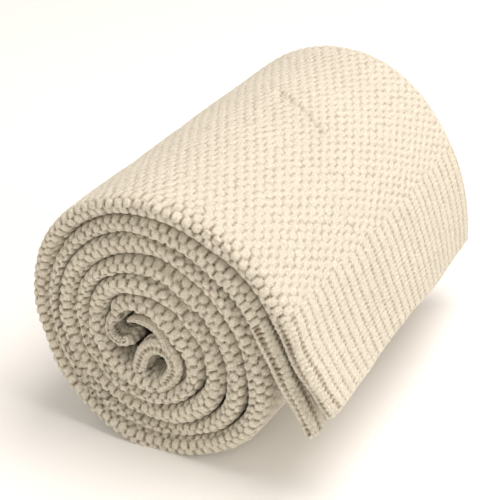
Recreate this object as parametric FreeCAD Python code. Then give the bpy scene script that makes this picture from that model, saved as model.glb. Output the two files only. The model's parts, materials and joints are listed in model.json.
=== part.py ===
"""Knitted throw, folded lengthwise into four plies and rolled into a bolster.

The throw is one moss-stitch panel with a ribbed band at each end. Both selvedges are
turned in to the centre line, the strip is folded once more along that line, and the
four-ply strip is rolled up from its start end. From the front (-Y) two folds show side
by side, the outer one (plies A and B) and the inner one (plies C and D). At the back
(+Y) the centre fold joins plies A and D and hides the selvedges of plies B and C.
The ribbed finish end hangs free of the roll as a flap, which peels away about a line
parallel to the roll. Frame: +Y along the roll, +Z up, origin at the bottom centre.
"""
import FreeCAD, Part
import math
import os

os.makedirs("parts", exist_ok=True)

# ---- driving dimensions, mm and degrees ------------------------------------------------
THROW_WIDTH = 1270.0        # selvedge to selvedge, knitted width laid flat
PLY_COUNT = 4               # plies once the throw is folded into a strip
ROLL_RADIUS = 105.0         # mean radius of the outermost turn
LAP_RISE = 12.7             # how far the finish end stands above that radius
PLY_THICKNESS = 5.2         # one ply of chunky moss stitch
PLY_GAP = 0.5               # air between the two plies of one fold
TURN_SLACK = 7.8            # air wound in per turn of four plies
PUFF = 0.75                 # share of that air that the outermost fold springs into
CORE_OUTER = 29.4           # radius at which the outer fold ends, in the core
CORE_INNER = 16.0           # the same, inner fold, which reaches further in
EXIT_ANGLE = 19.0           # where the ribbed finish end leaves the roll, from +X to +Z
SPIRAL_SHIFT = (3.6, -5.9)      # centre of the spiral from the centre of the roll
DRIFT_SHARE = (-0.6667, -0.3974)    # its shift per turn towards the core, over the slack
SETTLE = 2.1                # how much the roll settles out of round
SETTLE_ANGLE = -45.0        # direction in which it settles fullest
SAG = 8.5                   # how far the wound cloth sags out below the flap
SAG_ANGLE = -22.0           # direction of that sag
SAG_SPREAD = 28.0           # how wide it is, in degrees
SAG_DEPTH = 3.6             # turns inwards at which it has faded out
RIB_LENGTH_START = 75.0     # ribbed band at the start end, in the core
TUCK_ROOM = 1.0             # air round the start corner tucked into the core
TUCK_DEPTH = 10.0           # how far the tucked corner lies inside the roll's ends
EDGE_DEPTH = 4.0            # cast-on and bind-off chain along an end
SELVEDGE_WIDTH = 5.0        # slip-stitch chain along a side
CENTRE_FOLD_WEB = 7.0       # cloth turned over at the centre fold
CENTRE_FOLD_LEG = 12.0      # how far its two sides reach towards the front
FLAP_FRONT_OUTER = 72.0     # ribbed finish end, outer fold, at the front
FLAP_FRONT_INNER = 82.0     # the same, inner fold
FLAP_BACK = 84.0            # the same, at the back, where it hangs straighter
LEAN_FRONT_OUTER = -50.0    # direction of the flap's end at the front, outer fold
LEAN_FRONT_INNER = -61.0    # the same, inner fold
LEAN_BACK = -93.0           # the same, at the back
PEEL_MAX = 75.0             # how far the flap peels away from the roll
CLEARANCE = 0.4             # between the flap and the roll
REST_FLAT = 1.9             # how much the underside flattens under its own weight

# ---- what follows from them ------------------------------------------------------------
ROLL_LENGTH = THROW_WIDTH / PLY_COUNT
FOLD_THICKNESS = 2 * PLY_THICKNESS + PLY_GAP
PITCH = 2 * FOLD_THICKNESS + TURN_SLACK
CORE_DRIFT = (DRIFT_SHARE[0] * TURN_SLACK, DRIFT_SHARE[1] * TURN_SLACK)
FRONT = -ROLL_LENGTH / 2
BACK = ROLL_LENGTH / 2
HALF = FOLD_THICKNESS / 2
WEB_START = BACK - CENTRE_FOLD_WEB
LEG_START = WEB_START - CENTRE_FOLD_LEG
SELVEDGE_START = WEB_START - SELVEDGE_WIDTH
MID_STACK = 0.25            # the line between the two folds, in turns inwards
INNER_SHIFT = 0.5           # the inner fold's line, in turns inwards
LINE_START = ROLL_RADIUS + LAP_RISE - HALF      # radius of the outer fold's line, finish end
TURNS_OUTER = (LINE_START - CORE_OUTER) / PITCH
TURNS_INNER = (LINE_START - CORE_INNER) / PITCH - INNER_SHIFT
FOLDS = (("outer_fold", 0.0, TURNS_OUTER), ("inner_fold", INNER_SHIFT, TURNS_INNER))
STEP = math.radians(12.0)   # spacing of the points that a wound edge passes through
NOSE_SIDE = 0.5             # how far the front edge of a fold is rounded off
NOSE_DEPTH = 3.0            # over what depth
WALK = 0.004                # step, in radians, of a walk along the spiral
LEAF_POINTS = 7             # points along each edge of the flap
UP_TO_ROOT = 0.0            # wound angle at the root of the flap
V_SPARE = 1.0               # degrees of room on each side of the V at the flap's root
V_REACH = 3 * FOLD_THICKNESS    # depth of that V


def direction(angle):
    """Unit vector in the XZ plane at an angle from +X towards +Z, in radians."""
    return FreeCAD.Vector(math.cos(angle), 0, math.sin(angle))


def wound_point(wound, shift):
    """Point on the spiral: wound is the angle rolled inwards from the flap's root, and
    shift moves the line inwards by a part of a turn."""
    theta = math.radians(EXIT_ANGLE) + wound
    turns = wound / (2 * math.pi) + shift
    radius = LINE_START - PITCH * turns
    radius += SETTLE * math.cos(2 * (theta - math.radians(SETTLE_ANGLE)))
    aside = math.degrees(theta) - SAG_ANGLE
    aside -= 360 * round(aside / 360)
    radius += SAG * math.exp(-((aside / SAG_SPREAD) ** 2)) * max(0.0, 1 - turns / SAG_DEPTH)
    centre = FreeCAD.Vector(SPIRAL_SHIFT[0] + CORE_DRIFT[0] * turns, 0, 0)
    centre.z = SPIRAL_SHIFT[1] + CORE_DRIFT[1] * turns
    return centre + direction(theta) * radius


def wound_normal(wound, shift):
    """Unit vector out of the roll, square to the spiral."""
    small = 1e-4
    along = wound_point(wound + small, shift) - wound_point(wound - small, shift)
    return FreeCAD.Vector(along.z, 0, -along.x).normalize()


def half_thickness(wound, shift):
    """Half the thickness of one fold: its two plies, and the share of the air wound in
    beside it that the knit springs into, none at the depth where the outer fold ends. The
    drift of the centre sets that air."""
    theta = math.radians(EXIT_ANGLE) + wound
    drift = CORE_DRIFT[0] * math.cos(theta) + CORE_DRIFT[1] * math.sin(theta)
    air = (PITCH - drift) / 4 - HALF
    turns = wound / (2 * math.pi) + shift
    return HALF + PUFF * air * max(0.0, 1 - turns / TURNS_OUTER)


def wound_back(end, length, shift):
    """Wound angle that lies a length of cloth outwards from the wound angle end."""
    wound = end
    passed = 0.0
    while passed < length:
        passed += (wound_point(wound - WALK, shift) - wound_point(wound, shift)).Length
        wound -= WALK
    return wound


def smooth_edge(points):
    """One smooth edge through the points."""
    curve = Part.BSplineCurve()
    curve.interpolate(points)
    return curve.toShape()


def outline(outer, inner):
    """Closed wire between two rows of points that run the same way."""
    edges = [smooth_edge(outer), Part.makeLine(outer[-1], inner[-1])]
    edges += [smooth_edge(inner[::-1]), Part.makeLine(inner[0], outer[0])]
    return Part.Wire(edges)


def wound_row(start, end, shift, side, y):
    """Points along the spiral at one place along the roll. side goes from -1, the inner
    face of the fold, to 1, its outer face."""
    count = max(3, math.ceil((end - start) / STEP))
    row = []
    for i in range(count + 1):
        wound = start + (end - start) * i / count
        out = wound_normal(wound, shift) * (side * half_thickness(wound, shift))
        point = wound_point(wound, shift) + out
        row.append(FreeCAD.Vector(point.x, y, point.z))
    return row


def wound_strip(start, end, stations):
    """Solid wound between two angles. A station is (y, outer line, inner line), and a
    line is (shift, side)."""
    wires = []
    for y, outer, inner in stations:
        rows = [wound_row(start, end, line[0], line[1], y) for line in (outer, inner)]
        wires.append(outline(rows[0], rows[1]))
    return Part.makeLoft(wires, True, True)


def fold_stations(line):
    """A fold of two plies: rounded off at the front, square at the back. line is the
    shift of a wound fold, or a leaf of the flap."""
    return [
        (FRONT, (line, NOSE_SIDE), (line, -NOSE_SIDE)),
        (FRONT + NOSE_DEPTH, (line, 1.0), (line, -1.0)),
        (LEG_START, (line, 1.0), (line, -1.0)),
    ]


def ply_stations(line, side, y0, y1):
    """One ply of a fold. side is 1 for the ply that faces out of the roll, -1 for the
    ply that faces in."""
    faces = sorted((side * 1.0, side * PLY_GAP / FOLD_THICKNESS), reverse=True)
    return [(y, (line, faces[0]), (line, faces[1])) for y in (y0, y1)]


def web_stations(outer_line, inner_line):
    """The cloth turned over from ply A to ply D, rounded off at the back."""
    return [
        (WEB_START, (outer_line, 1.0), (inner_line, -1.0)),
        (BACK - NOSE_DEPTH, (outer_line, 1.0), (inner_line, -1.0)),
        (BACK, (outer_line, 0.0), (inner_line, 0.0)),
    ]


def hinge_point():
    """The line about which the flap peels: between the two folds, at the flap's root."""
    return wound_point(UP_TO_ROOT, MID_STACK)


def relief_cut(shape):
    """Cuts the V at the flap's root that the plies outside the hinge need to fold back."""
    hinge = hinge_point()
    out = wound_normal(UP_TO_ROOT, MID_STACK)
    middle = math.atan2(out.z, out.x)
    half_v = math.radians(PEEL_MAX / 2 + V_SPARE)
    corners = [hinge]
    for angle in (middle - half_v, middle, middle + half_v):
        corners.append(hinge + direction(angle) * V_REACH)
    corners = [FreeCAD.Vector(p.x, FRONT - CLEARANCE, p.z) for p in corners]
    prism = Part.Face(Part.makePolygon(corners + corners[:1]))
    return shape.cut(prism.extrude(FreeCAD.Vector(0, ROLL_LENGTH + 2 * CLEARANCE, 0)))


def leaf_curve(shift, length, lean):
    """Line of one fold of the flap, from its root on the roll to its free end."""
    root = wound_point(UP_TO_ROOT, shift)
    out = wound_normal(UP_TO_ROOT, shift)
    leave = math.atan2(-out.x, out.z)
    end = math.radians(lean)
    poles = [root]
    for angle in (leave, (leave + end) / 2, end):
        poles.append(poles[-1] + direction(angle) * (length / 3))
    curve = Part.BezierCurve()
    curve.setPoles(poles)
    return curve


def leaf_row(leaf, first, last, side, y):
    """Points along one fold of the flap from first to last, as parts of its length.
    leaf is (shift, length at the front, lean at the front). The fold thins from what it
    is at the root to its two plies at the free end."""
    shift, front_length, front_lean = leaf
    front = leaf_curve(shift, front_length, front_lean)
    back = leaf_curve(shift, FLAP_BACK, LEAN_BACK)
    part = (y - FRONT) / ROLL_LENGTH
    row = []
    for i in range(LEAF_POINTS):
        t = first + (last - first) * i / (LEAF_POINTS - 1)
        point = front.value(t) * (1 - part) + back.value(t) * part
        along = front.tangent(t)[0] * (1 - part) + back.tangent(t)[0] * part
        out = FreeCAD.Vector(-along.z, 0, along.x).normalize()
        spring = (half_thickness(UP_TO_ROOT, shift) - HALF) * (1 - t) ** 2
        point = point + out * (side * (HALF + spring))
        row.append(FreeCAD.Vector(point.x, y, point.z))
    return row


def leaf_strip(first, last, stations):
    """Solid piece of the flap. A station is (y, outer line, inner line), and a line is
    (leaf, side)."""
    wires = []
    for y, outer, inner in stations:
        rows = [leaf_row(line[0], first, last, line[1], y) for line in (outer, inner)]
        wires.append(outline(rows[0], rows[1]))
    return Part.makeLoft(wires, True, True)


def core_tuck():
    """The start corner of the inner fold, crumpled into what is left of the core: a
    rod with one soft end, as thick as the innermost turn lets it be."""
    first = (TURNS_INNER - 1) * 2 * math.pi
    ring = wound_row(first, TURNS_INNER * 2 * math.pi, INNER_SHIFT, 0.0, 0.0)
    middle = sum(ring, FreeCAD.Vector()) * (1 / len(ring))
    walls = [wound_row(0.0, turns * 2 * math.pi, shift, 0.0, 0.0) for _, shift, turns in FOLDS]
    nearest = min((point - middle).Length for wall in walls for point in wall)
    radius = nearest - HALF - TUCK_ROOM
    start = FreeCAD.Vector(middle.x, FRONT + TUCK_DEPTH + radius, middle.z)
    along = FreeCAD.Vector(0, 1, 0)
    rod = Part.makeCylinder(radius, ROLL_LENGTH - 2 * TUCK_DEPTH - radius, start, along)
    nose = Part.makeCone(radius / 2, radius, radius, start - along * radius, along)
    return rod.fuse(nose)


def build_roll():
    """The nodes that stay wound: name to shape."""
    gap = CLEARANCE / (ROLL_RADIUS + LAP_RISE)
    nodes = {}
    for name, shift, turns in FOLDS:
        core_end = turns * 2 * math.pi
        chain_start = wound_back(core_end, EDGE_DEPTH, shift)
        rib_start = wound_back(core_end, RIB_LENGTH_START, shift)
        stations = fold_stations(shift)
        nodes["moss_panel_" + name] = wound_strip(gap, rib_start, stations)
        nodes["start_rib_" + name] = wound_strip(rib_start, chain_start, stations)
        nodes["cast_on_chain_" + name] = wound_strip(chain_start, core_end, stations)
    shared_end = min(TURNS_OUTER, TURNS_INNER) * 2 * math.pi
    nodes["centre_fold"] = wound_strip(gap, shared_end, web_stations(0.0, INNER_SHIFT))
    ply_a = ply_stations(0.0, 1, LEG_START, WEB_START)
    ply_d = ply_stations(INNER_SHIFT, -1, LEG_START, WEB_START)
    nodes["back_edge_ply_a"] = wound_strip(gap, shared_end, ply_a)
    nodes["back_edge_ply_d"] = wound_strip(gap, shared_end, ply_d)
    left = ply_stations(0.0, -1, SELVEDGE_START, WEB_START)
    right = ply_stations(INNER_SHIFT, 1, SELVEDGE_START, WEB_START)
    nodes["left_selvedge"] = wound_strip(gap, shared_end, left)
    nodes["right_selvedge"] = wound_strip(gap, shared_end, right)
    nodes["start_corner_tuck"] = core_tuck()
    return nodes


def build_flap():
    """The nodes of the flap that peels: name to shape."""
    outer_leaf = (0.0, FLAP_FRONT_OUTER, LEAN_FRONT_OUTER)
    inner_leaf = (INNER_SHIFT, FLAP_FRONT_INNER, LEAN_FRONT_INNER)
    nodes = {}
    for name, leaf in (("outer_fold", outer_leaf), ("inner_fold", inner_leaf)):
        chain_start = 1 - EDGE_DEPTH / leaf[1]
        stations = fold_stations(leaf)
        nodes["end_rib_" + name] = leaf_strip(0.0, chain_start, stations)
        nodes["bind_off_chain_" + name] = leaf_strip(chain_start, 1.0, stations)
    web = web_stations(outer_leaf, inner_leaf)
    nodes["end_rib_centre_fold"] = leaf_strip(0.0, 1.0, web)
    ply_a = ply_stations(outer_leaf, 1, LEG_START, WEB_START)
    ply_d = ply_stations(inner_leaf, -1, LEG_START, WEB_START)
    nodes["end_rib_back_edge_ply_a"] = leaf_strip(0.0, 1.0, ply_a)
    nodes["end_rib_back_edge_ply_d"] = leaf_strip(0.0, 1.0, ply_d)
    left = ply_stations(outer_leaf, -1, SELVEDGE_START, WEB_START)
    right = ply_stations(inner_leaf, 1, SELVEDGE_START, WEB_START)
    nodes["left_selvedge_end"] = leaf_strip(0.0, 1.0, left)
    nodes["right_selvedge_end"] = leaf_strip(0.0, 1.0, right)
    return nodes


def main():
    """Builds every node, sets the whole on its flattened underside and writes it."""
    roll = build_roll()
    flap = build_flap()
    lowest = min(shape.optimalBoundingBox().ZMin for shape in roll.values())
    floor = lowest + REST_FLAT
    size = 4 * ROLL_RADIUS
    corner = FreeCAD.Vector(-size / 2, -size / 2, floor - size)
    below = Part.makeBox(size, size, size, corner)
    for name in roll:
        if roll[name].optimalBoundingBox().ZMin < floor:
            roll[name] = roll[name].cut(below)
    nodes = {name: relief_cut(shape) for name, shape in {**roll, **flap}.items()}
    boxes = [shape.optimalBoundingBox() for shape in nodes.values()]
    middle = (min(box.XMin for box in boxes) + max(box.XMax for box in boxes)) / 2
    place = FreeCAD.Vector(-middle, 0, -floor)
    for name, shape in nodes.items():
        shape.translate(place)
        shape.exportStep("parts/" + name + ".step")
    hinge = hinge_point() + place
    print("hinge", round(hinge.x, 3), round(hinge.z, 3), "axis 0 -1 0")
    print("roll centre", round(place.x, 3), round(place.z, 3))
    for name, shape in nodes.items():
        print(name, len(shape.Solids), shape.isValid(), round(shape.Volume / 1000, 1), "cm3")


main()
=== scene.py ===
"""Looks of a knitted throw, folded into four plies and rolled into a bolster.

One cloth makes the whole object. Every sheet here is a window of that cloth, counted in
stitches across and rows along. It is laid along the folds and turns of the roll and then
given the relief of its stitches. Lengths are in metres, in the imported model's frame.
"""

import json
import logging
import math
from dataclasses import dataclass, field
from enum import Enum, IntEnum

import bmesh
import bpy
import numpy as np
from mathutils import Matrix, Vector


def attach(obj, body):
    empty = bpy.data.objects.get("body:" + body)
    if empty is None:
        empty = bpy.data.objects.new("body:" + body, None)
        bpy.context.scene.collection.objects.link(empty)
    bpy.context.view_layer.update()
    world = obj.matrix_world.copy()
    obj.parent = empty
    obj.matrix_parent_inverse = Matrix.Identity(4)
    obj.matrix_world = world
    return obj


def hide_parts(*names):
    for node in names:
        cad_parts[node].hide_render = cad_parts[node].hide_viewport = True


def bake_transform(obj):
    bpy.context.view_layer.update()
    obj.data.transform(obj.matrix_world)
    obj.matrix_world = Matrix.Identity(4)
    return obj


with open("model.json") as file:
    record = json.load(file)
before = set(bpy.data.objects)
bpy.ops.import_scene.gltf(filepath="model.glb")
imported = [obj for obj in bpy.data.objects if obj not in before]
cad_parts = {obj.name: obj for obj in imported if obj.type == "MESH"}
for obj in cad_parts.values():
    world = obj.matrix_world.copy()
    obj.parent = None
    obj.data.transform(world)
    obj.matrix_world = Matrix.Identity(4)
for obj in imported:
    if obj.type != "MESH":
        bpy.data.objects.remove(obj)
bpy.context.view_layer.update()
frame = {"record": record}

MM = 0.001
TURN = 2 * math.pi
ROLL_LENGTH = 317.5 * MM
ROOT_ANGLE = math.radians(19.0)  # direction from the roll's middle to the flap's root
BLEND_ROWS = 14  # rows past the root that belong to the free end's pieces

Array = np.ndarray
Knots = tuple[tuple[float, float], ...]
log = logging.getLogger("throw")


def linear(hex_colour: str) -> tuple[float, float, float, float]:
    """Turns an sRGB hex colour into linear light.

    Args:
        hex_colour: six hex digits, as "F3E7D0".

    Returns:
        Linear red, green, blue and an alpha of 1.
    """
    parts = [int(hex_colour[i:i + 2], 16) / 255 for i in (0, 2, 4)]
    parts = [p / 12.92 if p <= 0.04045 else ((p + 0.055) / 1.055) ** 2.4 for p in parts]
    return (parts[0], parts[1], parts[2], 1.0)


def ease(x: Array) -> Array:
    """Rises smoothly from 0 to 1 as x goes from 0 to 1."""
    x = np.clip(x, 0.0, 1.0)
    return x * x * (3 - 2 * x)


def wander(x: Array, seed: float) -> Array:
    """A slow, smooth, repeatable wander between about -1 and 1.

    Args:
        x: position along the line, in periods of its longest wave.
        seed: phase that makes one line differ from another.

    Returns:
        The wander at each position.
    """
    slow = np.sin(TURN * x + 1.7 * seed)
    middle = np.sin(TURN * 2.3 * x + 4.1 * seed + 1.0)
    quick = np.sin(TURN * 4.9 * x + 2.9 * seed + 2.0)
    return 0.5 * slow + 0.32 * middle + 0.18 * quick


def scatter(i: Array, j: Array, seed: float) -> Array:
    """A number between -1 and 1 for each stitch, the same in every run.

    Args:
        i: column of the stitch.
        j: row of the stitch.
        seed: makes one use differ from another.

    Returns:
        The number for each stitch.
    """
    # Large, unrelated factors leave no pattern from one stitch to the next.
    mixed = np.sin(i * 12.9898 + j * 78.233 + seed * 37.719) * 43758.5453
    return 2 * (mixed - np.floor(mixed)) - 1


def lumps(s: Array, r: Array, seed: float) -> Array:
    """Small smooth lumps of the yarn, 3.1 to a stitch and 2.3 to a row, from -1 to 1.

    Args:
        s: column coordinate, in stitches.
        r: row coordinate, in rows.
        seed: makes one set of lumps differ from another.

    Returns:
        The lump height at each point.
    """
    x, y = s * 3.1, r * 2.3
    i, j = np.floor(x), np.floor(y)
    fx, fy = ease(x - i), ease(y - j)
    low = scatter(i, j, seed) * (1 - fx) + scatter(i + 1, j, seed) * fx
    high = scatter(i, j + 1, seed) * (1 - fx) + scatter(i + 1, j + 1, seed) * fx
    return low * (1 - fy) + high * fy


def unit(v: Array) -> Array:
    """Makes each vector of the last axis one long."""
    return v / np.maximum(np.linalg.norm(v, axis=-1, keepdims=True), 1e-12)


def measured(points: Array) -> Array:
    """Length along a line of points, at each of them."""
    steps = np.linalg.norm(np.diff(points, axis=0), axis=1)
    return np.concatenate([[0.0], np.cumsum(steps)])


def left_of(points: Array, lengths: Array) -> Array:
    """Unit normals of a line of (x, z) points, at known lengths along it."""
    along = unit(np.gradient(points, lengths, axis=0))
    return np.stack([along[:, 1], -along[:, 0]], axis=-1)


def normals(grid: Array) -> Array:
    """Unit normals of a grid of points whose axes are across and along the cloth."""
    return unit(np.cross(np.gradient(grid, axis=0), np.gradient(grid, axis=1)))


def through(knots: Array, steps: int) -> Array:
    """A smooth line through knots, with equal numbers of steps between them.

    Args:
        knots: the points to pass through.
        steps: steps between each two knots.

    Returns:
        The points of the line.
    """
    padded = np.concatenate([2 * knots[:1] - knots[1:2], knots, 2 * knots[-1:] - knots[-2:-1]])
    t = (np.arange(steps) / steps)[:, None]
    parts = []
    for a, b, c, d in zip(padded, padded[1:], padded[2:], padded[3:]):
        bend = (2 * a - 5 * b + 4 * c - d) * t ** 2 + (3 * b - a - 3 * c + d) * t ** 3
        parts.append(b + ((c - a) * t + bend) / 2)
    return np.concatenate(parts + [knots[-1:]])


class Fold(IntEnum):
    """The two folds of cloth that are rolled up together."""

    OUTER = 0
    INNER = 1


class Stitch(IntEnum):
    """Kinds of knitting in the throw."""

    MOSS = 0
    RIB = 1
    CHAIN = 2


class Hem(Enum):
    """The end of a window that is a chained edge."""

    NONE = "none"
    FIRST = "first row"
    LAST = "last row"


@dataclass(frozen=True)
class RollLine:
    """The line that the folded cloth follows: a spiral, and the flap that hangs off it.

    A depth counts turns inwards: 0 is the middle of the outer fold, 0.5 the middle of the
    inner fold of the same turn. Vectors here are (x, z) from the middle of the roll.
    """

    place: tuple[float, float] = (-24.418 * MM, 103.908 * MM)
    line_start: float = 112.25 * MM  # radius at the root of the outer fold
    half_fold: float = 5.45 * MM  # half of a fold that lies close
    pitch: float = 29.6 * MM  # drop in radius for each turn
    puff: float = 0.72  # share of the air between turns that the cloth springs into
    shift: tuple[float, float] = (3.6 * MM, -5.9 * MM)
    drift: tuple[float, float] = (-5.2 * MM, -3.1 * MM)  # of the middle, for each turn
    settle: float = 2.1 * MM  # how far the roll has settled out of round
    settle_angle: float = math.radians(-45.0)
    sag: float = 8.5 * MM  # how far the turns hang out below the flap
    sag_angle: float = math.radians(-22.0)
    sag_spread: float = math.radians(28.0)
    sag_depth: float = 3.6  # turns inwards over which the sag fades

    flap_front: tuple[float, float] = (72.0 * MM, 82.0 * MM)  # outer and inner fold
    flap_back: float = 84.0 * MM
    lean_front: tuple[float, float] = (math.radians(-45.0), math.radians(-61.0))
    lean_back: float = math.radians(-93.0)

    # The cloth crumpled into the core, in mm: the start corner, then each fold's curl.
    corner: Knots = ((-21, 1), (-14, 3), (-5, 2.5), (3, -1), (9, -8), (12.5, -17), (13, -24))
    corner_half: float = 3.6 * MM
    curls: tuple[Knots, Knots] = (
        ((4, -48), (14, -39), (18, -27), (12, -16.5), (1, -15), (-8, -21.5), (-12.5, -33),
         (-15, -42)),
        ((-30, 5), (-37, -5), (-34, -14), (-25, -17), (-15, -14)),
    )
    curl_turns: tuple[float, float] = (2.66, 2.30)  # where the curls leave the spiral
    curl_half: tuple[float, float] = (5.6 * MM, 5.4 * MM)

    def point(self, wound: Array, depth: float) -> Array:
        """Middle of a fold.

        Args:
            wound: angle rolled inwards from the flap's root.
            depth: depth of the fold, in turns, at the root.

        Returns:
            (x, z) of each point.
        """
        theta = ROOT_ANGLE + wound
        turns = wound / TURN + depth
        radius = self.line_start - self.pitch * turns
        radius = radius + self.settle * np.cos(2 * (theta - self.settle_angle))
        aside = theta - self.sag_angle
        aside = aside - TURN * np.round(aside / TURN)
        fade = np.maximum(0.0, 1 - turns / self.sag_depth)
        radius = radius + self.sag * np.exp(-((aside / self.sag_spread) ** 2)) * fade
        x = self.shift[0] + self.drift[0] * turns + np.cos(theta) * radius
        z = self.shift[1] + self.drift[1] * turns + np.sin(theta) * radius
        return np.stack([x, z], axis=-1)

    def out(self, wound: Array, depth: float) -> Array:
        """Unit normal out of the roll at each wound angle of a fold at that depth."""
        along = unit(self.point(wound + 1e-4, depth) - self.point(wound - 1e-4, depth))
        return np.stack([along[..., 1], -along[..., 0]], axis=-1)

    def half(self, wound: Array) -> Array:
        """Half the thickness of a fold, with the air it springs into.

        Args:
            wound: angle rolled inwards from the flap's root.

        Returns:
            Half the thickness at each angle.
        """
        theta = ROOT_ANGLE + wound
        drift = self.drift[0] * np.cos(theta) + self.drift[1] * np.sin(theta)
        air = (self.pitch - drift) / 4 - self.half_fold
        return self.half_fold + self.puff * air

    def leaf(self, t: Array, fold: Fold, part: Array) -> tuple[Array, Array]:
        """Middle of one fold of the flap, between a curve at the front and one at the back.

        Args:
            t: part of the flap's length from its root.
            fold: the fold.
            part: part of the roll's length from its front.

        Returns:
            (x, z) of each point, and the unit normal away from the roll.
        """
        depth = 0.5 * fold
        root = self.point(np.zeros(1), depth)[0]
        out = self.out(np.zeros(1), depth)[0]
        leave = math.atan2(-out[0], out[1])
        t = t[..., None]
        part = part[..., None]
        spots, slopes = [], []
        for size, lean in ((self.flap_front[fold], self.lean_front[fold]),
                           (self.flap_back, self.lean_back)):
            poles = [root]
            for angle in (leave, (leave + lean) / 2, lean):
                step = np.array([math.cos(angle), math.sin(angle)]) * size / 3
                poles.append(poles[-1] + step)
            a, b, c, d = poles
            spot = a * (1 - t) ** 3 + 3 * b * t * (1 - t) ** 2 + 3 * c * t ** 2 * (1 - t)
            spots.append(spot + d * t ** 3)
            slopes.append((b - a) * (1 - t) ** 2 + 2 * (c - b) * t * (1 - t) + (d - c) * t ** 2)
        spot = spots[0] * (1 - part) + spots[1] * part
        along = unit(slopes[0] * (1 - part) + slopes[1] * part)
        return spot, np.stack([-along[..., 1], along[..., 0]], axis=-1)


@dataclass(frozen=True)
class CrossPath:
    """The way across the folded cloth, from selvedge to selvedge.

    u is the distance across, from 0 at the front edge of the outer fold. It grows over
    ply A, round the centre fold at the back, over ply D, round the front edge of the inner
    fold and over ply C. Below 0 it runs over ply B. A nose is a fold's rounded front edge,
    and the web is the centre fold.
    """

    nose_depth: float = 10.5 * MM
    nose_arc: float = 13.0 * MM
    web_depth: float = 9.0 * MM
    web_arc: float = 36.0 * MM

    @property
    def flat(self) -> float:
        """Length of a ply between its two folds."""
        return ROLL_LENGTH - self.nose_depth - self.web_depth

    @property
    def web_start(self) -> float:
        """Where ply A turns into the centre fold."""
        return self.nose_arc + self.flat

    @property
    def inner_nose(self) -> float:
        """The front edge of the inner fold."""
        return self.web_start + self.web_arc + self.flat + self.nose_arc

    @property
    def span(self) -> tuple[float, float]:
        """The two selvedges."""
        return -self.nose_arc - self.flat, self.inner_nose + self.nose_arc + self.flat

    def place(self, u: Array) -> tuple[Array, ...]:
        """Where each point lies in the stack.

        Args:
            u: distance across the cloth.

        Returns:
            y along the roll, the share of the inner fold in its place, and its side of
            the outer and of the inner fold, each from -1 to 1.
        """
        back = ROLL_LENGTH / 2
        inner = u > self.web_start + self.web_arc / 2
        local = np.where(inner, self.inner_nose - u, u)
        turn = np.clip(local / self.nose_arc, -1, 1) * math.pi / 2
        y = self.nose_depth * (1 - np.cos(turn)) - back
        y = y + np.maximum(np.abs(local) - self.nose_arc, 0.0)
        side = np.sin(turn)
        bend = np.clip((u - self.web_start) / self.web_arc, 0, 1) * math.pi
        in_web = (bend > 0) & (bend < math.pi)
        y = np.where(in_web, back - self.web_depth + self.web_depth * np.sin(bend), y)
        share = np.where(in_web, (1 - np.cos(bend)) / 2, inner * 1.0)
        outer_side = np.where(in_web, 1.0, side)
        inner_side = np.where(in_web, -1.0, -side)
        return y, share, outer_side, inner_side


@dataclass(frozen=True)
class Gauge:
    """Size of one stitch. The rib draws in, so its columns are the narrower."""

    width: float = 7.2 * MM
    row: float = 3.9 * MM
    rib_width: float = 5.576 * MM


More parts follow.
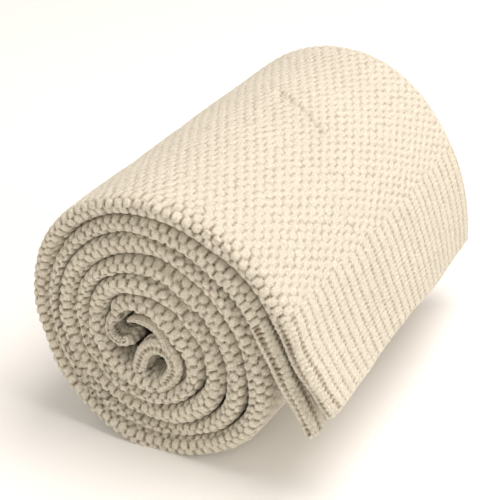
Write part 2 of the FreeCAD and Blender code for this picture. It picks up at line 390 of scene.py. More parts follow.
@dataclass(frozen=True)
class Relief:
    """How the stitches stand out of the cloth.

    A pair of sizes is a half width in stitches and a half height in rows. A fall is the
    power that shapes the side of a bump: the lower it is, the squarer the bump.
    """

    gauge: Gauge = field(default_factory=Gauge)
    moss_height: float = 1.6 * MM
    rib_height: float = 1.7 * MM
    chain_height: float = 2.0 * MM
    sink: float = 0.72  # height that lies level with the cloth's surface
    edge_gain: float = 0.6  # extra relief at the stretched front edges, and painted shade in their pits
    edge_reach: float = 11 * MM
    uneven: float = 0.12

    stray: tuple[float, float] = (0.05, 0.08)  # of a moss stitch from its place
    bump: tuple[float, float] = (0.63, 0.90)
    bump_fall: float = 0.42
    bump_arch: tuple[float, float] = (0.14, 0.7)  # drop of its ends, at this distance
    bump_rise: float = 0.05
    bump_tilt: float = 0.22
    wide_spread: float = 0.05
    size_spread: float = 0.08
    leg: tuple[float, float] = (0.18, 0.55)  # of a knit stitch's V
    leg_place: tuple[float, float] = (0.19, 0.16)  # from its column's middle, and slope
    leg_height: float = 0.42

    wale: tuple[float, float] = (0.50, 0.70)  # one leg of the V in a rib's wale
    wale_place: tuple[float, float] = (0.30, 0.34)
    wale_fall: float = 0.40
    wale_waver: float = 0.05
    rib_stray: float = 0.06
    rung: tuple[float, float] = (0.55, 0.42)  # purl bar in a rib's groove
    rung_height: float = 0.50

    link: float = 0.53  # half width of a chain's link
    link_slant: float = 0.35

    def moss(self, s: Array, r: Array) -> Array:
        """Moss stitch: plump purl bumps like a chequerboard, with knit legs between them.

        Args:
            s: column coordinate, in stitches.
            r: row coordinate, in rows.

        Returns:
            Height from 0 in the pits to about 1 on the bumps.
        """
        high = np.zeros_like(s)
        drop, reach = self.bump_arch
        for di in (-1, 0, 1):
            for dj in (-1, 0, 1):
                i, j = np.floor(s) + di, np.floor(r) + dj
                x = s - i - 0.5 - self.stray[0] * scatter(i, j, 1.0)
                y = r - j - 0.5 - self.stray[1] * scatter(i, j, 2.0)
                tilt = self.bump_tilt * scatter(i, j, 7.0) * x
                y_arc = y + tilt - drop * (x / reach) ** 2 + self.bump_rise
                wide = self.bump[0] + self.wide_spread * scatter(i, j, 8.0)
                ball = 1 - np.abs(x / wide) ** 2.8 - np.abs(y_arc / self.bump[1]) ** 2.6
                size = 1 + self.size_spread * scatter(i, j, 3.0)
                bump = size * np.maximum(ball, 0.0) ** self.bump_fall
                leg = np.zeros_like(s)
                for hand in (-1, 1):
                    lean = x - hand * (self.leg_place[0] + self.leg_place[1] * y)
                    ball = 1 - (lean / self.leg[0]) ** 2 - (y / self.leg[1]) ** 2
                    leg = np.maximum(leg, self.leg_height * np.sqrt(np.maximum(ball, 0.0)))
                purl = np.mod(i + j, 2) == 0
                high = np.maximum(high, np.where(purl, bump, leg))
        return high

    def rib(self, s: Array, r: Array) -> Array:
        """One-by-one rib: a broad knit wale of V stitches, then a narrow purl groove.

        A groove runs down the middle of each front edge.

        Args:
            s: column coordinate, in moss stitches.
            r: row coordinate, in rows.

        Returns:
            Height from 0 in the grooves to about 1 on the wales.
        """
        s = s * self.gauge.width / self.gauge.rib_width
        pair = np.floor(s / 2)
        x = s - 2 * pair - 1
        x = x + self.wale_waver * np.sin(0.9 * r + 2.4 * pair)
        high = np.zeros_like(s)
        for dj in (-1, 0, 1):
            j = np.floor(r) + dj
            y = r - j - 0.5 - self.rib_stray * scatter(pair, j, 4.0)
            lean = np.abs(x) - self.wale_place[0] + self.wale_place[1] * y
            size = 1 + self.rib_stray * scatter(pair, j, 6.0)
            ball = 1 - (lean / self.wale[0]) ** 2 - (y / self.wale[1]) ** 2
            high = np.maximum(high, size * np.maximum(ball, 0.0) ** self.wale_fall)
            away = np.minimum(np.abs(x - 1), np.abs(x + 1))
            ball = 1 - (away / self.rung[0]) ** 2 - (y / self.rung[1]) ** 2
            high = np.maximum(high, self.rung_height * np.sqrt(np.maximum(ball, 0.0)))
        return high

    def chain(self, s: Array, r: Array) -> Array:
        """Chained edge: one slanted link to each stitch.

        Args:
            s: column coordinate, in stitches.
            r: distance over the edge, 0 to 1.

        Returns:
            Height from 0 to about 1.
        """
        lean = s + self.link_slant * (r - 0.5)
        aside = np.mod(lean, 1.0) - 0.5
        return np.sqrt(np.maximum(1 - (np.abs(aside) / self.link) ** 2.2, 0.0))

    def height(self, kind: Array, s: Array, r: Array) -> Array:
        """Height of each point within its own kind of stitch, with the yarn's lumps.

        Args:
            kind: number of the kind of stitch at each point.
            s: column coordinate, in stitches.
            r: row coordinate, in rows.

        Returns:
            Height from 0 to about 1.
        """
        high = np.where(kind == Stitch.MOSS, self.moss(s, r), 0.0)
        high = np.where(kind == Stitch.RIB, self.rib(s, r), high)
        high = np.where(kind == Stitch.CHAIN, self.chain(s, np.mod(r, 1.0)), high)
        uneven = self.uneven * lumps(s, r, 9.0) + self.uneven * lumps(1.9 * s, 1.7 * r, 4.0)
        return high + uneven * (high > 0.05)


@dataclass(frozen=True)
class Wear:
    """The unevenness that handling leaves in the rolled cloth. Angles are in radians."""

    half_length: float = 159 * MM
    edge_wander: float = 3.2 * MM  # of the front edges, along the roll
    edge_reach: float = 45 * MM
    swell: float = 0.9 * MM  # slow swells of the outermost turn
    swell_length: float = 177.78 * MM
    swell_angle: float = 3.1
    press: float = 1.9 * MM  # turns pressed close here and sprung apart there
    pucker: Knots = ((math.radians(93.5), 44 * MM), (math.radians(66.5), 15 * MM))
    pucker_radius: float = 112.0 * MM
    pucker_depth: float = 3.6 * MM
    pucker_groove: float = 3.4 * MM
    pucker_ridge: float = 9 * MM
    draw_in: float = 10.0 * MM  # the far end is slimmer on the flap's side
    flank: tuple[float, float, float, float] = (-1.9, -1.0, 0.3, 1.4)
    far_from: float = 0.15  # share of it in front of the middle

    def crease(self, y: Array, theta: Array) -> Array:
        """A small pucker on top: a groove with a soft ridge along each side.

        Args:
            y: place along the roll.
            theta: direction from the middle of the roll.

        Returns:
            Height at each point, from -1 in the groove.
        """
        start, end = (np.array([angle * self.pucker_radius, place])
                      for angle, place in self.pucker)
        spot = np.stack([theta * self.pucker_radius, y], axis=-1) - start
        span = end - start
        part = np.clip(spot @ span / (span @ span), 0, 1)
        away = np.linalg.norm(spot - part[..., None] * span, axis=-1)
        ridge = np.exp(-((away / self.pucker_ridge) ** 2))
        return 0.35 * ridge - np.exp(-((away / self.pucker_groove) ** 2))

    def shift(self, y: Array, theta: Array, depth: Array) -> tuple[Array, Array]:
        """How far a point lies from its regular place.

        Args:
            y: place along the roll.
            theta: direction from the middle of the roll.
            depth: turns inwards.

        Returns:
            Shift along the roll and shift out of it.
        """
        along = theta / TURN + 0.6 * np.floor(depth * 2)
        near = np.exp(-((y + self.half_length) / self.edge_reach) ** 2)
        dy = self.edge_wander * wander(1.9 * along + 0.31 * depth, 0.7) * near

        inwards = np.maximum(depth, 0.0)
        outward = 0.6 * wander(y / self.swell_length + 0.5, 2.0)
        outward = outward + 0.4 * wander(theta / self.swell_angle, 3.0)
        lift = self.swell * outward * np.exp(-inwards)
        lift = lift + self.pucker_depth * self.crease(y, theta) * (depth < 0.2)

        aside = theta - TURN * np.round(theta / TURN)
        first, full, fading, last = self.flank
        flank = ease((last - aside) / (last - fading)) * ease((aside - first) / (full - first))
        far = ease((y / self.half_length + self.far_from) / (1 + self.far_from))
        lift = lift - self.draw_in * flank * far * np.exp(-inwards / 2)

        pinch = np.sin(TURN * depth + 1.3 * np.sin(theta) - 0.6)
        pinch = pinch * (0.6 + 0.4 * wander(theta / 5.0 + 0.2 * depth, 5.0))
        inside = ease((depth + 0.25) * 5) * ease((theta - ROOT_ANGLE) * 1.5)
        return dy, lift + self.press * pinch * inside


@dataclass(frozen=True)
class Track:
    """The whole line of one fold, from the flap's root to its end in the core."""

    lengths: Array
    points: Array
    out: Array
    half: Array

    def at(self, v: Array) -> tuple[Array, ...]:
        """Reads the line.

        Args:
            v: length of cloth inwards from the flap's root.

        Returns:
            (x, z) points, outward unit normals and half thicknesses.
        """
        level = np.interp(v, self.lengths, np.arange(len(self.lengths)))
        low = np.minimum(level.astype(int), len(self.lengths) - 2)
        part = (level - low)[..., None]
        point = self.points[low] * (1 - part) + self.points[low + 1] * part
        out = unit(self.out[low] * (1 - part) + self.out[low + 1] * part)
        return point, out, np.interp(v, self.lengths, self.half)


@dataclass
class Cloth:
    """The throw as one surface, its right side, laid along the folds and the roll."""

    line: RollLine = field(default_factory=RollLine)
    path: CrossPath = field(default_factory=CrossPath)
    gauge: Gauge = field(default_factory=Gauge)
    relief: Relief = field(default_factory=Relief)
    wear: Wear = field(default_factory=Wear)
    measured_turns: float = 2.81
    measured_steps: int = 6000
    curl_steps: int = 60  # between each two knots of a curl
    flap_rows: int = 19
    flap_swing: float = 1.2  # change of direction along the flap
    tail_spread: float = 0.45  # extra fullness at the flap's front corner
    tail_drop: float = 4.5 * MM  # how much further the inner fold hangs there
    hem_radius: float = 2.6 * MM
    hem_steps: int = 8
    hem_room: float = 6.5 * MM
    # The free end's wavy hem: part of the roll's length, and rise of the hem in mm.
    hem_rise: Knots = ((0.0, 0.5), (0.2, 3.0), (0.38, 7.5), (0.5, 8.5), (0.62, 6.0), (0.77, 3.0),
                       (1.0, 1.0))
    nose_reach: float = 8 * MM
    angles: Array = field(init=False)
    lengths: list[Array] = field(init=False)
    tracks: list[Track] = field(init=False)

    @property
    def flap_length(self) -> float:
        """Length of the free end's cloth from its root."""
        return self.flap_rows * self.gauge.row

    def __post_init__(self) -> None:
        """Measures the cloth along each fold, for turning rows into places."""
        self.angles = np.linspace(0.0, TURN * self.measured_turns, self.measured_steps)
        self.lengths = [measured(self.line.point(self.angles, 0.5 * fold)) for fold in Fold]
        self.tracks = [self.track(fold) for fold in Fold]

    def track(self, fold: Fold) -> Track:
        """Lays out one fold, its end crumpled into the core.

        Args:
            fold: the fold.

        Returns:
            Its line.
        """
        wound = self.angles[self.angles < self.line.curl_turns[fold] * TURN]
        spiral = self.line.point(wound, 0.5 * fold)
        half = self.line.half(wound)
        lead = spiral[[-160, -80, -1]]  # to leave the spiral smoothly
        knots = np.concatenate([lead, np.array(self.line.curls[fold]) * MM])
        curl = through(knots, self.curl_steps)[2 * self.curl_steps:]
        points = np.concatenate([spiral[:-1], curl])
        lengths = measured(points)
        easing = ease(np.linspace(0, 1, len(curl)) * 2)
        thin = half[-1] + (self.line.curl_half[fold] - half[-1]) * easing
        return Track(lengths, points, left_of(points, lengths),
                     np.concatenate([half[:-1], thin]))

    def wound(self, v: Array, fold: Fold) -> Array:
        """Wound angle at each length of cloth along a fold."""
        return np.interp(v, self.lengths[fold], self.angles)

    def length_at(self, turns: float, fold: Fold) -> float:
        """Length of cloth along a fold to a number of turns."""
        return float(np.interp(turns * TURN, self.angles, self.lengths[fold]))

    def layer(self, v: Array, y: Array, fold: Fold, measure: Fold) -> tuple[Array, ...]:
        """One fold of the cloth, on the roll and on the flap.

        Args:
            v: length of cloth inwards from the flap's root; below 0 on the flap.
            y: place along the roll.
            fold: the fold.
            measure: fold whose length v counts.

        Returns:
            (x, z) points of its middle, outward unit normals, half thicknesses, directions
            from the middle of the roll, and depths in turns.
        """
        line = self.line
        depth = 0.5 * fold
        wound = self.wound(np.maximum(v, 0.0), measure)
        if fold == measure:
            point, out, half = self.tracks[fold].at(v)
        else:
            point = line.point(wound, depth)
            out = line.out(wound, depth)
            half = line.half(wound)
        part = np.clip(y / ROLL_LENGTH + 0.5, 0, 1)
        front = line.flap_front[fold]
        reach = front + (line.flap_back - front) * part
        rise = np.interp(part, *np.array(self.hem_rise).T) * MM
        rise = rise - fold * self.tail_drop * (1 - ease(part * 6))
        t = np.clip(-v / self.flap_length, 0.0, 1.0) * (1 - (self.hem_room + rise) / reach)
        spot, away = line.leaf(t, fold, part)
        spring = (line.half(np.zeros(1))[0] - line.half_fold) * (1 - t) ** 2
        spread = 1 + self.tail_spread * ease(t * 2) * (1 - ease(part * 8))
        on_flap = (v < 0)[..., None]
        point = np.where(on_flap, spot, point)
        out = np.where(on_flap, away, out)
        half = np.where(v < 0, line.half_fold * spread + spring, half)
        theta = np.where(v < 0, ROOT_ANGLE - self.flap_swing * t, ROOT_ANGLE + wound)
        return point, out, half, theta, np.maximum(wound, 0.0) / TURN + depth

    def surface(self, u: Array, v: Array, measure: Fold, sink: float = 0.0) -> Array:
        """Places of points of the cloth before the relief of its stitches.

        Args:
            u: distance across the cloth.
            v: length of cloth inwards from the flap's root.
            measure: fold whose length v counts.
            sink: how far below the right side the points lie.

        Returns:
            (x, y, z) of each point.
        """
        y, share, outer_side, inner_side = self.path.place(u)
        total = theta = turns = out_mean = 0.0
        for fold, weight, side in ((Fold.OUTER, 1 - share, outer_side),
                                   (Fold.INNER, share, inner_side)):
            point, out, half, angle, depth = self.layer(v, y, fold, measure)
            spot = point + out * (side * (half - sink))[..., None]
            total = total + spot * weight[..., None]
            theta = theta + angle * weight
            turns = turns + (depth - 0.25 * side) * weight
            out_mean = out_mean + out * weight[..., None]
        dy, lift = self.wear.shift(y, theta, turns)
        total = total + unit(out_mean) * lift[..., None]
        nose = np.exp(-((y + ROLL_LENGTH / 2) / self.nose_reach) ** 2)
        y = y + dy + sink * nose
        x = total[..., 0] + self.line.place[0]
        z = total[..., 1] + self.line.place[1]
        return np.stack([x, y, z], axis=-1)


@dataclass(frozen=True)
class Window:
    """A part of the cloth that becomes one mesh."""

    name: str
    columns: tuple[int, int]
    rows: tuple[float, float]
    measure: Fold = Fold.OUTER  # fold whose length the rows count
    hem: Hem = Hem.NONE
    moss_rows: tuple[float, float] = (-math.inf, math.inf)  # the other rows are ribbed
    per_stitch: int = 6
    per_row: int = 5


def sheet_object(name: str, places: Array, stitches: Array, high: Array,
                 material: bpy.types.Material) -> bpy.types.Object:
    """Makes a mesh grid and lays it over the given points.

    Args:
        name: name of the new object.
        places: points, across by along.
        stitches: stitch coordinates of the points, kept as the UV map.
        high: height of each point within the relief, kept as an attribute from which the material
            paints shade into the pits.
        material: the only material.

    Returns:
        The new object, at the origin.
    """
    across, along = places.shape[:2]
    bm = bmesh.new()
    bmesh.ops.create_grid(bm, x_segments=across - 1, y_segments=along - 1, size=0.5)
    mesh = bpy.data.meshes.new(name)
    bm.to_mesh(mesh)
    bm.free()
    flat = np.empty(len(mesh.vertices) * 3, dtype=np.float32)
    mesh.vertices.foreach_get("co", flat)
    flat = flat.reshape(-1, 3)
    i = np.rint((flat[:, 0] + 0.5) * (across - 1)).astype(int)
    j = np.rint((flat[:, 1] + 0.5) * (along - 1)).astype(int)
    mesh.vertices.foreach_set("co", places[i, j].astype(np.float32).ravel())
    corner = np.empty(len(mesh.loops), dtype=np.int32)
    mesh.loops.foreach_get("vertex_index", corner)
    layer = mesh.uv_layers.new(name="stitches")
    layer.uv.foreach_set("vector", stitches[i, j][corner].astype(np.float32).ravel())
    attribute = mesh.attributes.new("height", "FLOAT", "POINT")
    attribute.data.foreach_set("value", high[i, j].astype(np.float32))
    mesh.polygons.foreach_set("use_smooth", np.ones(len(mesh.polygons), dtype=bool))
    mesh.materials.append(material)
    mesh.update()
    thing = bpy.data.objects.new(name, mesh)
    bpy.context.scene.collection.objects.link(thing)
    return thing


@dataclass(frozen=True)
class Knitter:
    """Turns windows of the cloth into meshes with the relief of their stitches."""

    cloth: Cloth
    material: bpy.types.Material

    def add_hem(self, window: Window, places: Array, s: Array, r: Array,
                kind: Array) -> tuple[Array, ...]:
        """Rolls the end of the cloth over the thickness of its chained edge.

        Args:
            window: the part of the cloth.
            places: points of the window.
            s: column coordinates.
            r: row coordinates.
            kind: number of the kind of stitch at each point.

        Returns:
            The four arrays with the rows of the hem added.
        """
        radius = self.cloth.hem_radius
        steps = self.cloth.hem_steps
        first = window.hem is Hem.FIRST
        end, before = (0, 1) if first else (-1, -2)
        out = normals(places)[:, end]
        onward = unit(places[:, end] - places[:, before])
        turn = np.linspace(0, math.pi, steps + 1)[1:]
        middle = places[:, end] - out * radius
        rows = np.stack([middle + radius * (out * math.cos(angle) + onward * math.sin(angle))
                         for angle in turn], axis=1)
        columns = np.repeat(s[:, :1], steps, axis=1)
        part = np.broadcast_to(turn / math.pi * 0.999, columns.shape)
        kinds = np.full(columns.shape, int(Stitch.CHAIN))
        if first:
            pieces = ((rows[:, ::-1], places), (columns, s),
                      (math.floor(window.rows[0]) - part[:, ::-1], r), (kinds, kind))
        else:
            pieces = ((places, rows), (s, columns), (r, window.rows[1] + part), (kind, kinds))
        return tuple(np.concatenate(pair, axis=1) for pair in pieces)

    def knit(self, window: Window) -> bpy.types.Object:
        """Makes the mesh of a window.

        Args:
            window: the part of the cloth.

        Returns:
            The new object.
        """
        cloth = self.cloth
        relief = cloth.relief
        across = (window.columns[1] - window.columns[0]) * window.per_stitch + 1
        along = max(2, round((window.rows[1] - window.rows[0]) * window.per_row)) + 1
        s, r = np.meshgrid(np.linspace(*window.columns, across),
                           np.linspace(*window.rows, along), indexing="ij")
        places = cloth.surface(s * cloth.gauge.width, r * cloth.gauge.row, window.measure)
        ribbed = (r < window.moss_rows[0]) | (r > window.moss_rows[1])
        kind = np.where(ribbed, int(Stitch.RIB), int(Stitch.MOSS))
        if window.hem is not Hem.NONE:
            places, s, r, kind = self.add_hem(window, places, s, r, kind)
        high = relief.height(kind, s, r)
        scale = np.choose(kind, [relief.moss_height, relief.rib_height, relief.chain_height])
        lift = scale * (high - relief.sink)
        edge = np.exp(-((places[..., 1] + ROLL_LENGTH / 2) / relief.edge_reach) ** 2)
        lift = lift * (1 + relief.edge_gain * edge)
        # Painted shade: the pits between the stretched stitches at the front edges are coloured
        # darker; this lowers only the height attribute, not the shape.
        high = high - relief.edge_gain * edge * (1 - np.minimum(high, 1))
        places = places + normals(places) * lift[..., None]
        return sheet_object(window.name, places, np.stack([s, r], axis=-1), high, self.material)


def add(tree: bpy.types.NodeTree, kind: str, settings: dict | None = None,
        links: dict | None = None) -> bpy.types.Node:
    """Adds a node to a material.

    Args:
        tree: the material's node tree.
        kind: the node's type.
        settings: its properties, and the values of its inputs by name or number.
        links: for each input, by name or number, the output that feeds it.

    Returns:
        The new node.
    """
    node = tree.nodes.new(kind)
    for key, value in (settings or {}).items():
        if isinstance(key, int) or key in node.inputs:
            node.inputs[key].default_value = value
        else:
            setattr(node, key, value)
    for key, source in (links or {}).items():
        tree.links.new(source, node.inputs[key])
    return node


@dataclass(frozen=True)
class CottonYarn:
    """Soft, loosely plied cotton: matt, with a faint bloom of loose fibres at its edges,
    which makes the knit read as thick and warm rather than hard."""

    name: str = "brushed cotton yarn, cream"
    light: str = "E0D9C8"
    pit_shade: str = "7A6547"  # painted shade, in the pits between stitches
    pit_shade_range: tuple[float, float] = (-0.45, 0.7)  # heights that get the full painted shade, in the deepest pits, and none, on the lightest tops
    patch: float = 45.4545 * MM  # parts that have faded unevenly
    patch_share: float = 0.3
    slubs: float = 2.2  # thick and thin places to a stitch, so 3.3 mm apart
    # Single fibres are 0.02 mm and too fine to show. Specks and fuzz are tufts of them,
    # drawn 1 mm wide.
    speck: float = 1.0526 * MM
    speck_share: float = 3.2
    fuzz: float = 1.1111 * MM
    tone_in: tuple[float, float] = (1.25, 3.25)
    tone_out: tuple[float, float] = (0.62, 1.30)
    plies: tuple[float, float] = (3.4, 4.6)  # to a stitch and to a row: 2.1 x 0.85 mm
    ply_slant: float = math.radians(20)
    ply_share: float = 0.9
    bump_height: float = 1.0 * MM

    def make(self) -> bpy.types.Material:
        """Builds the material; its patterns read the stitch map and Object places.

        Returns:
            The material.
        """
        material = bpy.data.materials.new(self.name)
        material.use_nodes = True
        tree = material.node_tree
        tree.nodes.clear()
        place = add(tree, "ShaderNodeTexCoord").outputs["Object"]
        stitches = add(tree, "ShaderNodeUVMap", {"uv_map": "stitches"}).outputs["UV"]
        height = add(tree, "ShaderNodeAttribute", {"attribute_name": "height"}).outputs["Fac"]

        # Painted shade: where the stitches' height is low, in the pits, the yarn's colour is mixed
        # towards a darker shade colour.
        depth = add(tree, "ShaderNodeMapRange",
                    {"From Min": self.pit_shade_range[0], "From Max": self.pit_shade_range[1]},
                    {"Value": height}).outputs["Result"]
        pit_shaded_colour = add(tree, "ShaderNodeMix", {"data_type": "RGBA", 6: linear(self.pit_shade),
                                             7: linear(self.light)}, {0: depth}).outputs[2]
        strands = add(tree, "ShaderNodeMapping",
                      {"Rotation": (0.0, 0.0, self.ply_slant), "Scale": (*self.plies, 1.0)},
                      {"Vector": stitches}).outputs[0]
        noise = {}
        for name, source, scale, detail, rough, twist in (
                ("patch", place, 1 / self.patch, 2.0, 0.5, 0.0),
                ("slub", stitches, self.slubs, 2.0, 0.5, 0.0),
                ("speck", place, 1 / self.speck, 2.0, 0.75, 0.0),
                ("fuzz", place, 1 / self.fuzz, 3.0, 0.7, 0.0),
                ("plies", strands, 1.0, 2.0, 0.5, 0.6)):
            noise[name] = add(tree, "ShaderNodeTexNoise",
                              {"Scale": scale, "Detail": detail, "Roughness": rough,
                               "Distortion": twist}, {"Vector": source}).outputs["Fac"]
        for total, name, share in (("slub", "patch", self.patch_share),
                                   ("slub", "speck", self.speck_share),
                                   ("fuzz", "plies", self.ply_share)):
            noise[total] = add(tree, "ShaderNodeMath", {"operation": "MULTIPLY_ADD", 1: share},
                               {0: noise[name], 2: noise[total]}).outputs[0]
        tone = add(tree, "ShaderNodeMapRange",
                   {"From Min": self.tone_in[0], "From Max": self.tone_in[1],
                    "To Min": self.tone_out[0], "To Max": self.tone_out[1]},
                   {"Value": noise["slub"]}).outputs["Result"]
        colour = add(tree, "ShaderNodeHueSaturation", {}, {"Color": pit_shaded_colour, "Value": tone})
        bump = add(tree, "ShaderNodeBump", {"Strength": 1.0, "Distance": self.bump_height},
                   {"Height": noise["fuzz"]}).outputs["Normal"]
        shader = add(tree, "ShaderNodeBsdfPrincipled",
                     {"Roughness": 0.92, "Specular IOR Level": 0.18, "Sheen Weight": 0.25,
                      "Sheen Roughness": 0.6, "Sheen Tint": (1.0, 0.95, 0.86, 1.0)},
                     {"Base Color": colour.outputs["Color"], "Normal": bump})
        add(tree, "ShaderNodeOutputMaterial", {}, {"Surface": shader.outputs["BSDF"]})
        return material


@dataclass(frozen=True)
class BackdropPaper:
    """Matt paper: plain and nearly white, so that nothing draws the eye from the throw."""

    name: str = "matt white backdrop paper"
    colour: str = "F6F5F3"
    roughness: float = 0.9

    def make(self) -> bpy.types.Material:
        """Builds the material.

        Returns:
            The material.
        """
        material = bpy.data.materials.new(self.name)
        material.use_nodes = True
        shader = material.node_tree.nodes["Principled BSDF"]
        shader.inputs["Base Color"].default_value = linear(self.colour)
        shader.inputs["Roughness"].default_value = self.roughness
        return material


@dataclass(frozen=True)
class WoundThrow:
    """The throw itself: the backing that runs through every turn, and the stitches of the
    parts that show. Columns count from the front edge of the outer fold."""

    knitter: Knitter
    skin_columns: tuple[int, int] = (2, 42)
    skin_rows: int = 184
    skin_bands: int = 4  # pieces of the outermost turn
    edge_columns: tuple[tuple[int, int], tuple[int, int]] = ((-4, 2), (88, 95))
    back_columns: tuple[int, int] = (42, 50)
    rib_length: float = 75 * MM
    rib_delay: tuple[int, int] = (0, 12)  # rows by which each fold's rib starts later
    backing_sink: float = 2.6 * MM
    backing_shade_level: float = 0.15
    backing_steps: tuple[int, int] = (120, 200)
    bend_steps: int = 9  # of the backing round each fold
    corner_columns: int = 5
    corner_steps: tuple[int, int] = (61, 100)
    corner_back: float = 3 * MM
    corner_relief: float = 0.6  # of the rib's height

    def backing(self) -> bpy.types.Object:
        """One sheet for the whole wound throw, just under the stitches that show.

        Returns:
            The new object.
        """
        cloth = self.knitter.cloth
        u = np.linspace(*cloth.path.span, self.backing_steps[0])
        extra = np.linspace(-1, 1, self.bend_steps)
        for edge in (0.0, cloth.path.inner_nose):
            u = np.concatenate([u, edge + extra * cloth.path.nose_arc])
        web = cloth.path.web_start + cloth.path.web_arc * (extra + 1) / 2
        u = np.unique(np.round(np.concatenate([u, web]), 6))
        last = cloth.length_at(min(cloth.line.curl_turns) - 0.02, Fold.OUTER)
        v = np.linspace(BLEND_ROWS * cloth.gauge.row, last, self.backing_steps[1])
        u, v = np.meshgrid(u, v, indexing="ij")
        places = cloth.surface(u, v, Fold.OUTER, sink=self.backing_sink)
        stitches = np.stack([u / cloth.gauge.width, v / cloth.gauge.row], axis=-1)
        # Painted shade: the backing's colour is set partway towards the painted shade of the pits.
        high = np.full(u.shape, self.backing_shade_level)
        return sheet_object("throw_cloth", places, stitches, high, self.knitter.material)

    def windows(self) -> list[Window]:
        """Lists the parts of the wound throw whose stitches show.

        Returns:
            The windows, from the outermost turn inwards.
        """
        cloth = self.knitter.cloth
        row = cloth.gauge.row
        listed = []
        size = (self.skin_rows - BLEND_ROWS) // self.skin_bands
        for band in range(self.skin_bands):
            start = BLEND_ROWS + band * size
            listed.append(Window(f"outer_turn_{band + 1}", self.skin_columns,
                                 (start, start + size)))
        first_turns = float(cloth.wound(np.array(BLEND_ROWS * row), Fold.OUTER)) / TURN
        for fold in Fold:
            total = float(cloth.tracks[fold].lengths[-1])
            rib_start = math.floor((total - self.rib_length) / row) + self.rib_delay[fold]
            rows = (cloth.length_at(first_turns, fold) / row, math.floor(total / row) - 1)
            listed.append(Window(f"front_edge_{fold.name.lower()}_fold",
                                 self.edge_columns[fold], rows, fold, Hem.LAST, (0, rib_start)))
        total = cloth.length_at(min(cloth.line.curl_turns), Fold.OUTER)
        rib_start = math.floor((total - self.rib_length) / row)
        listed.append(Window("back_centre_fold", self.back_columns,
                             (BLEND_ROWS, math.floor(total / row) - 2), hem=Hem.LAST,
                             moss_rows=(0, rib_start)))
        return listed

    def corner(self) -> bpy.types.Object:
        """The start corner of the cloth, a thin fold tucked into the core.

        Returns:
            The new object.
        """
        cloth = self.knitter.cloth
        relief = cloth.relief
        line = through(np.array(cloth.line.corner) * MM, 20)
        lengths = measured(line)
        out = left_of(line, lengths)
        s, r = np.meshgrid(
            np.linspace(-self.corner_columns, self.corner_columns, self.corner_steps[0]),
            np.linspace(0, lengths[-1] / cloth.gauge.row, self.corner_steps[1]), indexing="ij")
        y, _, side, _ = cloth.path.place(s * cloth.gauge.width)
        places = np.empty(s.shape + (3,))
        half = cloth.line.corner_half * (0.6 + 0.4 * ease(r / 3))
        for axis, middle in enumerate(cloth.line.place):
            centre = np.interp(r * cloth.gauge.row, lengths, line[:, axis])
            normal = np.interp(r * cloth.gauge.row, lengths, out[:, axis])
            places[..., 2 * axis] = centre + normal * side * half + middle
        places[..., 1] = y + self.corner_back
        high = relief.rib(s, r) + 0.10 * lumps(s, r, 9.0)
        lift = self.corner_relief * relief.rib_height * (high - relief.sink)
        places = places + normals(places) * lift[..., None]
        return sheet_object("start_corner", places, np.stack([s, r], axis=-1), high,
                            self.knitter.material)

    def build(self) -> list[bpy.types.Object]:
        """Makes every piece of the wound throw.

        Returns:
            The backing, then the pieces of stitches on it.
        """
        pieces = [self.backing(), self.corner()]
        pieces += [self.knitter.knit(window) for window in self.windows()]
        for piece in pieces:
            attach(piece, "roll")
        return pieces


@dataclass(frozen=True)
class FreeEnd:
    """The ribbed finish end that hangs off the roll."""

    knitter: Knitter
    rib_end: int = 3  # rows past the root where the rib gives way to moss stitch
    slope: tuple[float, float, float] = (0.365, 0.0, -0.931)  # of the flap at its root
    bend_reach: float = 26  # mm of cloth that bend, each way from the hinge

    def build(self) -> list[bpy.types.Object]:
        """Makes the two folds of the flap, each with both its faces.

        Returns:
            The two pieces.
        """
        cloth = self.knitter.cloth
        path = cloth.path
        web_middle = round((path.web_start + path.web_arc / 2) / cloth.gauge.width)
        first, last = (round(edge / cloth.gauge.width) for edge in path.span)
        pieces = []
        for fold, columns in ((Fold.OUTER, (first, web_middle)), (Fold.INNER, (web_middle, last))):
            window = Window(f"free_end_{fold.name.lower()}_fold", columns,
                            (-cloth.flap_rows, BLEND_ROWS), hem=Hem.FIRST,
                            moss_rows=(self.rib_end, math.inf))
            pieces.append(self.knitter.knit(window))
        for piece in pieces:
            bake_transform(piece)
        return pieces


@dataclass(frozen=True)
class Lamp:
    """A square area light."""

    name: str
    size: float
    power: float  # in watts
    place: tuple[float, float, float]
    colour: str

    def hang(self, target: Vector) -> None:
        """Adds the light to the scene.

        Args:
            target: the point it faces.
        """
        data = bpy.data.lights.new(self.name, "AREA")
        data.size = self.size
        data.energy = self.power
        data.color = linear(self.colour)[:3]
        lamp = bpy.data.objects.new(self.name, data)
        lamp.location = self.place
        aim = target - Vector(self.place)
        lamp.rotation_euler = aim.to_track_quat("-Z", "Y").to_euler()
        bpy.context.scene.collection.objects.link(lamp)


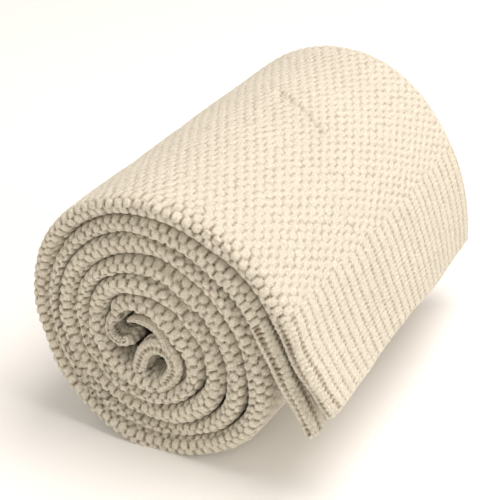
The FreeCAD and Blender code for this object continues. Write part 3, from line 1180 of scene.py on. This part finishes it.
@dataclass(frozen=True)
class Studio:
    """The floor, the soft light and the camera."""

    paper: BackdropPaper = field(default_factory=BackdropPaper)
    floor_half: float = 6.0
    room_colour: str = "FFFDF8"
    room_strength: float = 0.5
    lamps: tuple[Lamp, ...] = (
        Lamp("key", 1.5, 43.0, (0.55, 0.25, 2.1), "FFF5F1"),
        Lamp("side fill", 1.2, 13.0, (2.0, 0.1, 0.9), "FFF6EE"),
        Lamp("front fill", 2.4, 22.0, (0.0, -2.6, 1.0), "FFF4E4"),
    )
    azimuth: float = math.radians(29.122)
    elevation: float = math.radians(29.556)
    distance: float = 1.2777
    lens: float = 115.4
    shift: tuple[float, float] = (-0.0114, -0.0246)

    def lay_floor(self) -> None:
        """Lays the backdrop paper and lights the room evenly."""
        bm = bmesh.new()
        bmesh.ops.create_grid(bm, x_segments=1, y_segments=1, size=self.floor_half)
        mesh = bpy.data.meshes.new("floor")
        bm.to_mesh(mesh)
        bm.free()
        mesh.materials.append(self.paper.make())
        floor = bpy.data.objects.new("floor", mesh)
        bpy.context.scene.collection.objects.link(floor)
        bpy.context.scene.view_settings.view_transform = "Standard"
        world = bpy.data.worlds.new("soft room")
        bpy.context.scene.world = world
        world.use_nodes = True
        background = world.node_tree.nodes["Background"]
        background.inputs["Color"].default_value = linear(self.room_colour)
        background.inputs["Strength"].default_value = self.room_strength

    def place_camera(self, centre: Vector) -> None:
        """Adds the camera.

        Args:
            centre: the point it is turned to.
        """
        level = math.cos(self.elevation)
        back = Vector((math.sin(self.azimuth) * level, -math.cos(self.azimuth) * level,
                       math.sin(self.elevation)))
        data = bpy.data.cameras.new("camera")
        data.lens = self.lens
        data.shift_x, data.shift_y = self.shift
        camera = bpy.data.objects.new("camera", data)
        camera.location = centre + back * self.distance
        camera.rotation_euler = back.to_track_quat("Z", "Y").to_euler()
        bpy.context.scene.collection.objects.link(camera)
        bpy.context.scene.camera = camera

    def build(self, centre: Vector) -> None:
        """Sets up the studio round a point.

        Args:
            centre: the middle of the roll.
        """
        self.lay_floor()
        for lamp in self.lamps:
            lamp.hang(centre)
        self.place_camera(centre)


def main() -> None:
    """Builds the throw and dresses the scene."""
    logging.basicConfig(level=logging.INFO, format="%(name)s: %(message)s")
    cloth = Cloth()
    knitter = Knitter(cloth, CottonYarn().make())
    wound = WoundThrow(knitter).build()
    free = FreeEnd(knitter).build()
    for piece in wound + free:
        log.info("%s: %d faces", piece.name, len(piece.data.polygons))
    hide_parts(*frame["record"]["behaviour"]["bodies"]["roll"])
    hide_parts(*frame["record"]["behaviour"]["bodies"]["free_end"])
    Studio().build(Vector((cloth.line.place[0], 0.0, cloth.line.place[1])))


if __name__ == "__main__":
    main()
